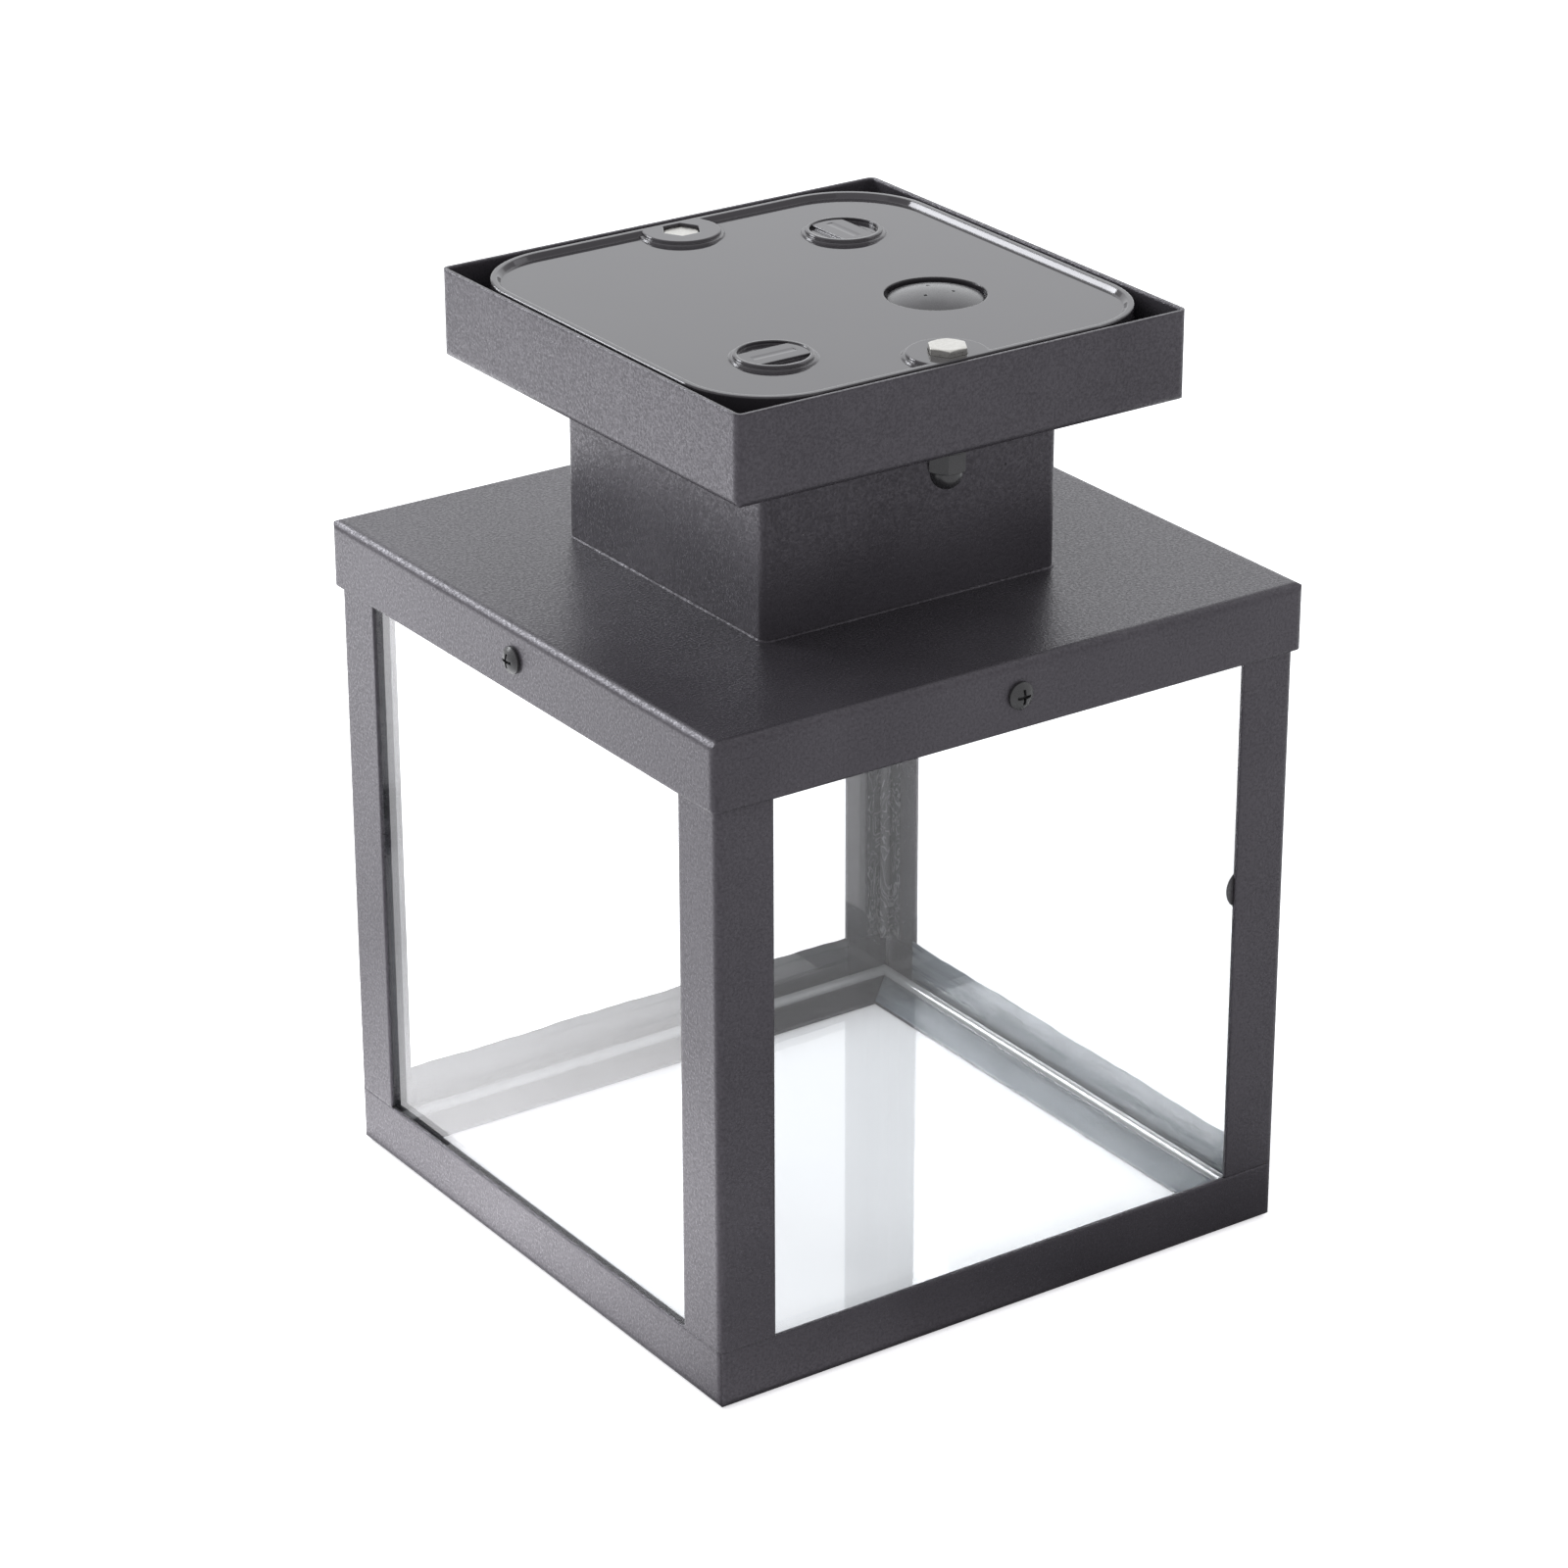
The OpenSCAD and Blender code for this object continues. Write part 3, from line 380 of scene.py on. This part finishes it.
def earth_sheath():
    """Green lead with yellow stripes: the sign of a sine over the height, which leans along Y."""
    g = Graph("earth_sheath")
    split = g.add("ShaderNodeSeparateXYZ", {"Vector": g.place})
    height = g.maths("ADD", split.outputs["Z"], g.maths("MULTIPLY", split.outputs["Y"], STRIPE_LEAN))
    stripe = g.span(g.maths("SINE", g.maths("MULTIPLY", height, STRIPES)), -0.1, 0.1, 0.0, 1.0)
    return g.principled({
        "Base Color": g.blend(stripe, (0.05, 0.25, 0.06, 1), (0.75, 0.62, 0.05, 1)),
        "Roughness": g.spread(g.noise(0.6), 0.35, 0.45),
    })


print("stripes of the earth lead: one every %.1f mm" % (2 * math.pi / STRIPES / MM))

# %% [markdown]
# ## Bright metal
#
# Bolts, nuts and brackets are zinc plated and the lampholder's contacts are brass. Both are polished only by
# rolling and pressing, so their roughness wanders and tiny dents break the reflections. The lampholder's cup is
# porcelain under a white glaze.

# %%
ROLLED_GRAIN_MM, DENT_MM = 0.8, 2.2


def bright_metal(name, dark, light, rough_low, rough_high):
    """Plated or rolled metal: grain of 0.8 mm, dents of 2 mm, and rounded edges."""
    g = Graph(name)
    grain, dents = g.noise(ROLLED_GRAIN_MM, detail=4, roughness=0.65), g.noise(DENT_MM, detail=2)
    return g.principled({
        "Base Color": g.blend(g.noise(3, detail=3), (*dark, 1), (*light, 1)),
        "Metallic": 1.0,
        "Roughness": g.spread(grain, rough_low, rough_high),
        "Normal": g.bump(grain, 0.02, 0.4, g.bump(dents, 0.06, 0.35, g.soft_edge(0.4))),
    })


def glazed_porcelain():
    """White glaze over a faintly uneven body."""
    g = Graph("glazed_porcelain")
    swim = g.noise(8, detail=2)
    return g.principled({
        "Base Color": g.blend(swim, (0.78, 0.76, 0.71, 1), (0.86, 0.85, 0.81, 1)),
        "Roughness": g.spread(g.noise(1.5), 0.1, 0.2),
        "Normal": g.bump(swim, 0.1, 0.3, g.soft_edge(0.4)),
        "Coat Weight": 0.4,
    })


print("metal: grain %.1f mm, dents %.1f mm" % (ROLLED_GRAIN_MM, DENT_MM))

# %% [markdown]
# ## Dressing the frame
#
# Every node of the frame now gets the material of its slot. A few nodes share a slot with something that looks
# different in life, such as the smooth cap nuts and the painted sheet, so they are named one by one. The painted
# reflection on the right bottom rail ends just inside the sheet's inner face.

# %%
by_slot = {
    "black_powder": powder_coat("powder_coat"),
    "clear_glass": float_glass(),
    "clear_sealant": clear_silicone(),
    "black_plastic": gloss_plastic(),
    "black_rubber": soft_rubber(),
    "zinc_steel": bright_metal("zinc_plate", (0.46, 0.45, 0.425), (0.56, 0.55, 0.52), 0.24, 0.40),
    "contact_brass": bright_metal("rolled_brass", (0.62, 0.45, 0.2), (0.78, 0.6, 0.3), 0.18, 0.34),
    "white_ceramic": glazed_porcelain(),
    "lead_brown": lead_sheath("brown_sheath", (0.16, 0.07, 0.03), (0.22, 0.1, 0.05)),
    "lead_blue": lead_sheath("blue_sheath", (0.03, 0.09, 0.38), (0.05, 0.13, 0.48)),
    "lead_green": earth_sheath(),
}
hardware = black_hardware()
by_node = {name: hardware for name in nodes if name.startswith(("cap_nut", "washer", "skirt_screws"))}
by_node["corner_sealant"] = squeezed_silicone()
rail_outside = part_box("bottom_rail_right")[1][0]
# the right bottom rail's coat carries a painted reflection on its inner face
by_node["bottom_rail_right"] = powder_coat("coat_with_painted_reflection", reflection_inside=rail_outside - SHEET - 0.1 * MM)
for name, obj in nodes.items():
    for place in obj.material_slots:
        place.material = by_node.get(name, by_slot[slot_of[name]])
print("slots dressed: %d, nodes named one by one: %d" % (len(by_slot), len(by_node)))

# %% [markdown]
# ## Surfaces from arrays
#
# New pieces are written as formulas over a grid of two parameters. One function turns such a grid of points
# into a mesh, so each piece only has to say where its points lie. Handwork is never even, so a second function
# adds up a few sines whose phases are drawn from a seeded generator, and gives the same wobble every time.

# %%


def grid_object(name, points, closed=(False, False), flip=False, smooth=True):
    """A mesh from points of shape (rows, columns, 3): quad (i, j) joins rows i, i+1 and columns j, j+1.

    closed joins the last row or column to the first one. flip turns the faces' normals to the other side.
    """
    rows, columns = points.shape[:2]
    i = np.arange(rows if closed[0] else rows - 1)[:, None]
    j = np.arange(columns if closed[1] else columns - 1)[None, :]
    i2, j2 = (i + 1) % rows, (j + 1) % columns
    quads = np.stack([i * columns + j, i2 * columns + j, i2 * columns + j2, i * columns + j2], axis=-1)
    quads = quads.reshape(-1, 4)
    if flip:
        quads = quads[:, ::-1]
    mesh = bpy.data.meshes.new(name)
    mesh.vertices.add(rows * columns)
    mesh.vertices.foreach_set("co", points.astype(np.float32).ravel())
    mesh.loops.add(quads.size)
    mesh.loops.foreach_set("vertex_index", quads.astype(np.int32).ravel())
    mesh.polygons.add(len(quads))
    mesh.polygons.foreach_set("loop_start", np.arange(0, quads.size, 4, dtype=np.int32))
    mesh.update(calc_edges=True)
    mesh.validate()
    mesh.polygons.foreach_set("use_smooth", np.full(len(quads), smooth))
    obj = bpy.data.objects.new(name, mesh)
    scene.collection.objects.link(obj)
    return obj


def ripple(s, waves, seed):
    """A sum of sines over s with the given (length, height) pairs and seeded phases, for uneven handwork."""
    phases = np.random.default_rng(seed).uniform(0, 2 * np.pi, len(waves))
    return sum(h * np.sin(2 * np.pi * s / length + p) for (length, h), p in zip(waves, phases))


print("a grid of points becomes a mesh, and a ripple makes it uneven")

# %% [markdown]
# ## The weld beads
#
# The neck is welded to the roof all round, then painted with it. The bead is a small rounded fillet, built up
# in overlapping puddles about 2 mm apart. Its width and height breathe along the seam, and that unevenness
# catches the light as the glinting line at the foot of the neck. The same bead holds the neck to the canopy.
#
# Its path is a square with round corners, worked out with a normal at each point, and the fillet's arc is
# carried along it.

# %%
neck_low, neck_high = (np.array(v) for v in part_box("neck_tube"))
NECK_CORNER = 2.8 * MM
WELD_MM, WELD_FLATTENED, WELD_OVERLAP = 0.5, 0.85, 0.12
PUDDLES = [(2.1, 0.10), (3.7, 0.07), (11, 0.12), (37, 0.14)]
SIDE_STEPS, CORNER_STEPS, ACROSS_STEPS = 500, 12, 9


def rounded_square(half, radius):
    """Points and outward normals along a square of half side half with corner radius radius.

    Each side is a straight run followed by a quarter arc whose normal turns from this side to the next.
    """
    t = np.linspace(-1, 1, SIDE_STEPS, endpoint=False)
    arc = np.linspace(0, np.pi / 2, CORNER_STEPS, endpoint=False)
    inner = half - radius
    run = np.stack([t * inner, np.full_like(t, -half)], axis=1)
    bend = np.stack([inner + radius * np.sin(arc), -inner - radius * np.cos(arc)], axis=1)
    run_n = np.stack([np.zeros_like(t), np.full_like(t, -1.0)], axis=1)
    bend_n = np.stack([np.sin(arc), -np.cos(arc)], axis=1)
    side, side_n = np.concatenate([run, bend]), np.concatenate([run_n, bend_n])
    turns = [np.array([[np.cos(a), np.sin(a)], [-np.sin(a), np.cos(a)]]) for a in np.arange(4) * np.pi / 2]
    return np.concatenate([side @ m for m in turns]), np.concatenate([side_n @ m for m in turns])


def weld_bead(name, height, up, seed):
    """A fillet round the neck at the given height, growing up (+1) or down (-1).

    Across, the angle runs from the sheet to the wall, and the point lies at (width cos, rise sin) from the
    corner. Along, puddles of 2 mm and slower waves change the width and the rise.
    """
    path, out = rounded_square(neck_high[0], NECK_CORNER)
    step = np.linalg.norm(np.roll(path, -1, axis=0) - path, axis=1)
    size = WELD_MM * (1 + ripple(np.cumsum(step) / MM, PUDDLES, seed))[:, None]
    angle = np.linspace(-WELD_OVERLAP, np.pi / 2 + WELD_OVERLAP, ACROSS_STEPS)[None, :]
    width, rise = size * np.cos(angle) * MM, WELD_FLATTENED * size * np.sin(angle) * MM
    xy = path[:, None, :] + out[:, None, :] * width[..., None]
    points = np.concatenate([xy, (height + up * rise)[..., None]], axis=-1)
    bead = grid_object(name, points, closed=(True, False), flip=up > 0)
    bead.data.materials.append(by_slot["black_powder"])
    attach(bead, "lantern")


weld_bead("weld_foot", neck_low[2], up=1, seed=3)
weld_bead("weld_head", neck_high[2], up=-1, seed=8)
print("weld beads round a neck of %.0f mm" % (2 * neck_high[0] / MM))

# %% [markdown]
# ## Films on the far rails, one of them a painted reflection
#
# The two far rails are seen from inside, through their panes. Between pane and rail lies a thin film that rises
# over the rail's edge by about 2 mm. On the right it is a painted reflection of the lamps in the glass: a bluish
# grey band with soft patches about 25 mm apart. At the back it is a film of sealant, thin and nearly as dark as
# the paint.

# %%
FILM_GAP, FILM_RISE, FILM_DEPTH, FILM_REACH = 0.4 * MM, 2.4 * MM, 16 * MM, 80.5 * MM
FILM_STEPS = 240
LIP_WAVES = [(61, 0.18), (23, 0.12), (9, 0.06)]
# millimetres off the pane, and share of the height: up the pane's side, over the lip, down the rail's side
FILM_SECTION = np.array([
    [0.05, 0], [0.05, 0.6], [0.05, 0.97], [0.12, 0.995], [0.2, 1.0], [0.28, 0.995], [0.35, 0.97], [0.35, 0]])
# the rail's side, the axis that the film faces, its dark and light tones, and its seed
# (the right film's tones are a painted reflection)
FILMS = [
    ("right", 0, (0.16, 0.18, 0.205), (0.28, 0.305, 0.335), 5),
    ("back", 1, (0.040, 0.038, 0.043), (0.075, 0.072, 0.079), 6),
]


def film_and_painted_reflection(name, dark, light):
    """A film's colour in patches of 25 mm with fine streaks along the rail; on the right it is a painted
    reflection.
    """
    g = Graph(name)
    patches = g.noise(25, detail=2)
    streaks = g.noise(2.2, detail=3, place=g.stretch((0.05, 0.05, 1)))
    tone = g.span(g.maths("ADD", patches, streaks), 0.75, 1.25, 0.0, 1.0)
    return g.principled({
        # on the right film both tones are a painted reflection of the lamps in the glass
        "Base Color": g.blend(tone, (*dark, 1), (*light, 1)),
        "Roughness": g.spread(streaks, 0.22, 0.4),
        "Normal": g.bump(streaks, 0.05, 0.4),
    })


def rail_film(name, rail, across, material, seed):
    """A film between a rail and its pane, closed round its section, with a wavy rounded upper lip.

    The section is swept along the rail, stretched at each step from its bottom to the lip's height there, and
    both ends close on their middle. across is 0 where the film faces X and 1 where it faces Y.
    """
    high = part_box(rail)[1]
    face, bottom = high[across] - SHEET - FILM_GAP, high[2] - FILM_DEPTH
    t = np.linspace(-FILM_REACH, FILM_REACH, FILM_STEPS)
    lip = high[2] + FILM_RISE + MM * ripple(t / MM, LIP_WAVES, seed)
    z = bottom + FILM_SECTION[None, :, 1] * (lip - bottom)[:, None]
    out = face + np.broadcast_to(FILM_SECTION[:, 0] * MM, z.shape)
    along = np.broadcast_to(t[:, None], z.shape)
    points = np.stack([out, along, z] if across == 0 else [along, out, z], axis=-1)
    start, end = (np.broadcast_to(row.mean(0), (1, *row.shape)) for row in (points[0], points[-1]))
    points = np.concatenate([start, points, end])
    obj = grid_object(name, points, closed=(False, True), flip=across == 0)
    obj.data.materials.append(material)
    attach(obj, "lantern")


for side, across, dark, light, seed in FILMS:
    rail_film("rail_film_" + side, "bottom_rail_" + side, across, film_and_painted_reflection("film_" + side, dark, light), seed)
print("films on the far rails:", len(FILMS))

# %% [markdown]
# ## The lamp thread
#
# The lampholder's shell is rolled from thin brass, and the thread is simply a wave pressed into it. A screw
# wave has one formula: the radius is a cosine of the height, and the phase gains a full turn for each turn
# round the axis. The pitch of this lamp thread is 3.63 mm, and the crests just reach the plain shell.

# %%
shell_low, shell_high = (np.array(v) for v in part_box("lampholder_shell"))
THREAD_PITCH, THREAD_DEPTH, SHELL_BORE = 3.63 * MM, 0.75 * MM, 13.4 * MM
THREAD_CLEAR, THREAD_MARGIN, THREAD_RUN_OUT = 0.04 * MM, 0.3 * MM, 1.5 * MM
TURN_STEPS, HEIGHT_STEPS = 96, 130


def lamp_thread():
    """The rolled inside of the shell: radius = bore - fade depth (1 - cos(2 pi (z / pitch - turn))) / 2.

    fade rises from 0 at the shell's two rims to 1 at the run-out's length from them.
    """
    turn = np.linspace(0, 1, TURN_STEPS, endpoint=False)[None, :]
    z = np.linspace(shell_low[2] + THREAD_MARGIN, shell_high[2] - THREAD_MARGIN, HEIGHT_STEPS)[:, None]
    fade = np.clip(np.minimum(z - shell_low[2], shell_high[2] - z) / THREAD_RUN_OUT, 0, 1)
    wave = (1 - np.cos(2 * np.pi * (z / THREAD_PITCH - turn))) / 2
    radius = SHELL_BORE - THREAD_CLEAR - fade * THREAD_DEPTH * wave
    x, y = radius * np.cos(2 * np.pi * turn), radius * np.sin(2 * np.pi * turn)
    points = np.stack([x, y, np.broadcast_to(z, x.shape)], axis=-1)
    obj = grid_object("lamp_thread", points, closed=(False, True))
    obj.data.materials.append(by_slot["contact_brass"])
    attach(obj, "lantern")


lamp_thread()
print("thread turns: %.1f" % ((shell_high[2] - shell_low[2]) / THREAD_PITCH))

# %% [markdown]
# ## The studio lamps
#
# Black satin paint shows little but what it mirrors, so the places of the lamps decide how bright each face is.
# A wide dim box behind the lantern is mirrored by the roof and the ceiling plate. Two small strong boxes stand
# behind it to the left: the first is mirrored twice, by roof and neck, and glints on sealant and weld, and the
# second, which stands higher, lights the roof's left fold. Weak boxes left, above and right open the shadows.
# Their light is a little blue, and so is the room.

# %%
AIM = Vector((0, 0, 0.13))
# name: direction from the lantern, distance, width, height, radiance
SOFTBOXES = {
    "box_back": ((0.52, 0.75, 0.40), 1.8, 2.4, 1.4, 0.64),
    "box_key": ((-0.53, 0.735, 0.425), 1.6, 0.44, 0.44, 8.5),
    "box_edge": ((-0.307, 0.760, 0.574), 1.6, 0.5, 0.5, 12.0),
    "box_left": ((-0.85, 0.45, 0.28), 1.3, 1.1, 1.0, 0.3),
    "box_top": ((-0.1, 0.1, 1.0), 1.4, 1.2, 1.2, 0.3),
    "box_right": ((0.79, -0.20, 0.58), 1.5, 0.6, 0.6, 1.0),
}
LAMP_TINT = (0.95, 0.98, 1.0)


def softbox(name, direction, distance, width, height, radiance):
    """A rectangular lamp that faces the lantern. Its power is radiance times pi times its area."""
    lamp = bpy.data.lights.new(name, "AREA")
    lamp.shape = "RECTANGLE"
    lamp.size, lamp.size_y = width, height
    lamp.energy = radiance * math.pi * width * height
    lamp.color = LAMP_TINT
    obj = bpy.data.objects.new(name, lamp)
    away = Vector(direction).normalized()
    obj.location = AIM + away * distance
    obj.rotation_mode = "QUATERNION"
    obj.rotation_quaternion = away.to_track_quat("Z", "Y")
    obj.visible_camera = False
    scene.collection.objects.link(obj)


for name, values in SOFTBOXES.items():
    softbox(name, *values)
print("soft boxes:", len(SOFTBOXES))

# %% [markdown]
# ## The room
#
# A plain pale room surrounds the lantern. The paint mirrors it at a little less than white, and the camera sees
# it as pure white.

# %%
ROOM_RADIANCE = 0.85
ROOM_TINT = (0.985, 0.985, 1.0, 1)


def surround(radiance):
    """A plain pale room of that radiance, seen as pure white by the camera."""
    world = bpy.data.worlds.new("room")
    scene.world = world
    world.use_nodes = True
    tree = world.node_tree
    tree.nodes.clear()
    path = tree.nodes.new("ShaderNodeLightPath")
    room, white = tree.nodes.new("ShaderNodeBackground"), tree.nodes.new("ShaderNodeBackground")
    for background, colour, strength in ((room, ROOM_TINT, radiance), (white, (1, 1, 1, 1), 1.0)):
        background.inputs["Color"].default_value = colour
        background.inputs["Strength"].default_value = strength
    mix, out = tree.nodes.new("ShaderNodeMixShader"), tree.nodes.new("ShaderNodeOutputWorld")
    tree.links.new(path.outputs["Is Camera Ray"], mix.inputs[0])
    tree.links.new(room.outputs[0], mix.inputs[1])
    tree.links.new(white.outputs[0], mix.inputs[2])
    tree.links.new(mix.outputs[0], out.inputs["Surface"])


surround(ROOM_RADIANCE)
print("room radiance:", ROOM_RADIANCE)

# %% [markdown]
# ## The table
#
# The lantern stands on a white table that is lit until it is as bright as the paper it is printed on. The left
# faces mirror the table behind and beside them, so two pools of light lie there, which stop at the lantern's
# foot. The front right faces mirror the strip just before them, where a real table lies in the lantern's own
# shade: that strip is darker for reflected and bounced light, and plain white to the camera.

# %%
# pools of light in the table: middle, radius, strength
POOLS = [((-0.36, 0.50), 0.58, 1.8), ((-0.11, 0.03), 0.19, 2.8)]
TABLE_WHITE, WHITE_THROUGH_GLASS = 0.6, 0.5
TABLE_HALF, TABLE_HEIGHT = 4.0, -0.0003
FOOT_HALF = 0.101
# the shaded strip: the Y of its middle, and how far off it in Y, and off the lantern's middle in X, it ends
STRIP_Y, STRIP_HALF_DEPTH, STRIP_HALF_LENGTH = -0.112, (0.012, 0.05), (0.11, 0.15)
STRIP_SHADE = 0.8


def pool_glow(g, reach, pools):
    """The pools' light: each falls evenly from its middle to its radius, and none lies under the foot."""
    glow = 0.0
    for (x, y), radius, strength in pools:
        away = g.add("ShaderNodeVectorMath", {0: g.place, 1: (x, y, 0)}, operation="DISTANCE").outputs["Value"]
        glow = g.maths("ADD", g.span(away, 0.0, radius, strength, 0.0), glow)
    return g.maths("MULTIPLY", glow, g.maths("GREATER_THAN", reach, FOOT_HALF))


def strip_shade(g, split, x_off, unseen):
    """STRIP_SHADE in the strip before the lantern, fading to 0 at its borders, for all but the camera."""
    y_off = g.maths("ABSOLUTE", g.maths("ADD", split.outputs["Y"], -STRIP_Y))
    front = g.maths("SUBTRACT", 1.0, g.span(y_off, *STRIP_HALF_DEPTH, 0.0, 1.0))
    beside = g.span(x_off, *STRIP_HALF_LENGTH, 1.0, 0.0)
    return g.maths("MULTIPLY", g.maths("MULTIPLY", front, beside), g.maths("MULTIPLY", unseen, STRIP_SHADE))


def table(pools, white):
    """A wide white table. The camera, and half as much what it sees through glass, gets some white on top."""
    t = np.linspace(-TABLE_HALF, TABLE_HALF, 3)
    points = np.stack([*np.meshgrid(t, t, indexing="ij"), np.full((3, 3), TABLE_HEIGHT)], axis=-1)
    top = grid_object("table", points, smooth=False)
    g = Graph("white_table")
    split = g.add("ShaderNodeSeparateXYZ", {"Vector": g.place})
    x_off = g.maths("ABSOLUTE", split.outputs["X"])
    lit = pool_glow(g, g.maths("MAXIMUM", x_off, g.maths("ABSOLUTE", split.outputs["Y"])), pools)
    path = g.add("ShaderNodeLightPath")
    to_camera = path.outputs["Is Camera Ray"]
    shade = strip_shade(g, split, x_off, g.maths("SUBTRACT", 1.0, to_camera))
    pale = g.blend(g.noise(60), (0.86, 0.86, 0.865, 1), (0.88, 0.88, 0.885, 1))
    through = g.maths("MULTIPLY", path.outputs["Is Transmission Ray"], WHITE_THROUGH_GLASS)
    extra = g.maths("MULTIPLY", g.maths("ADD", to_camera, through), white)
    paper = g.add("ShaderNodeBsdfDiffuse", {"Color": g.blend(shade, pale, (0.12, 0.12, 0.122, 1))})
    shine = g.add("ShaderNodeEmission", {"Color": (0.985, 0.975, 1.0, 1), "Strength": g.maths("ADD", lit, extra)})
    shader = g.add("ShaderNodeAddShader", {0: paper.outputs[0], 1: shine.outputs[0]})
    top.data.materials.append(g.finish(shader.outputs[0]))


table(POOLS, TABLE_WHITE)
print("pools of light in the table:", len(POOLS))

# %% [markdown]
# ## Closing
#
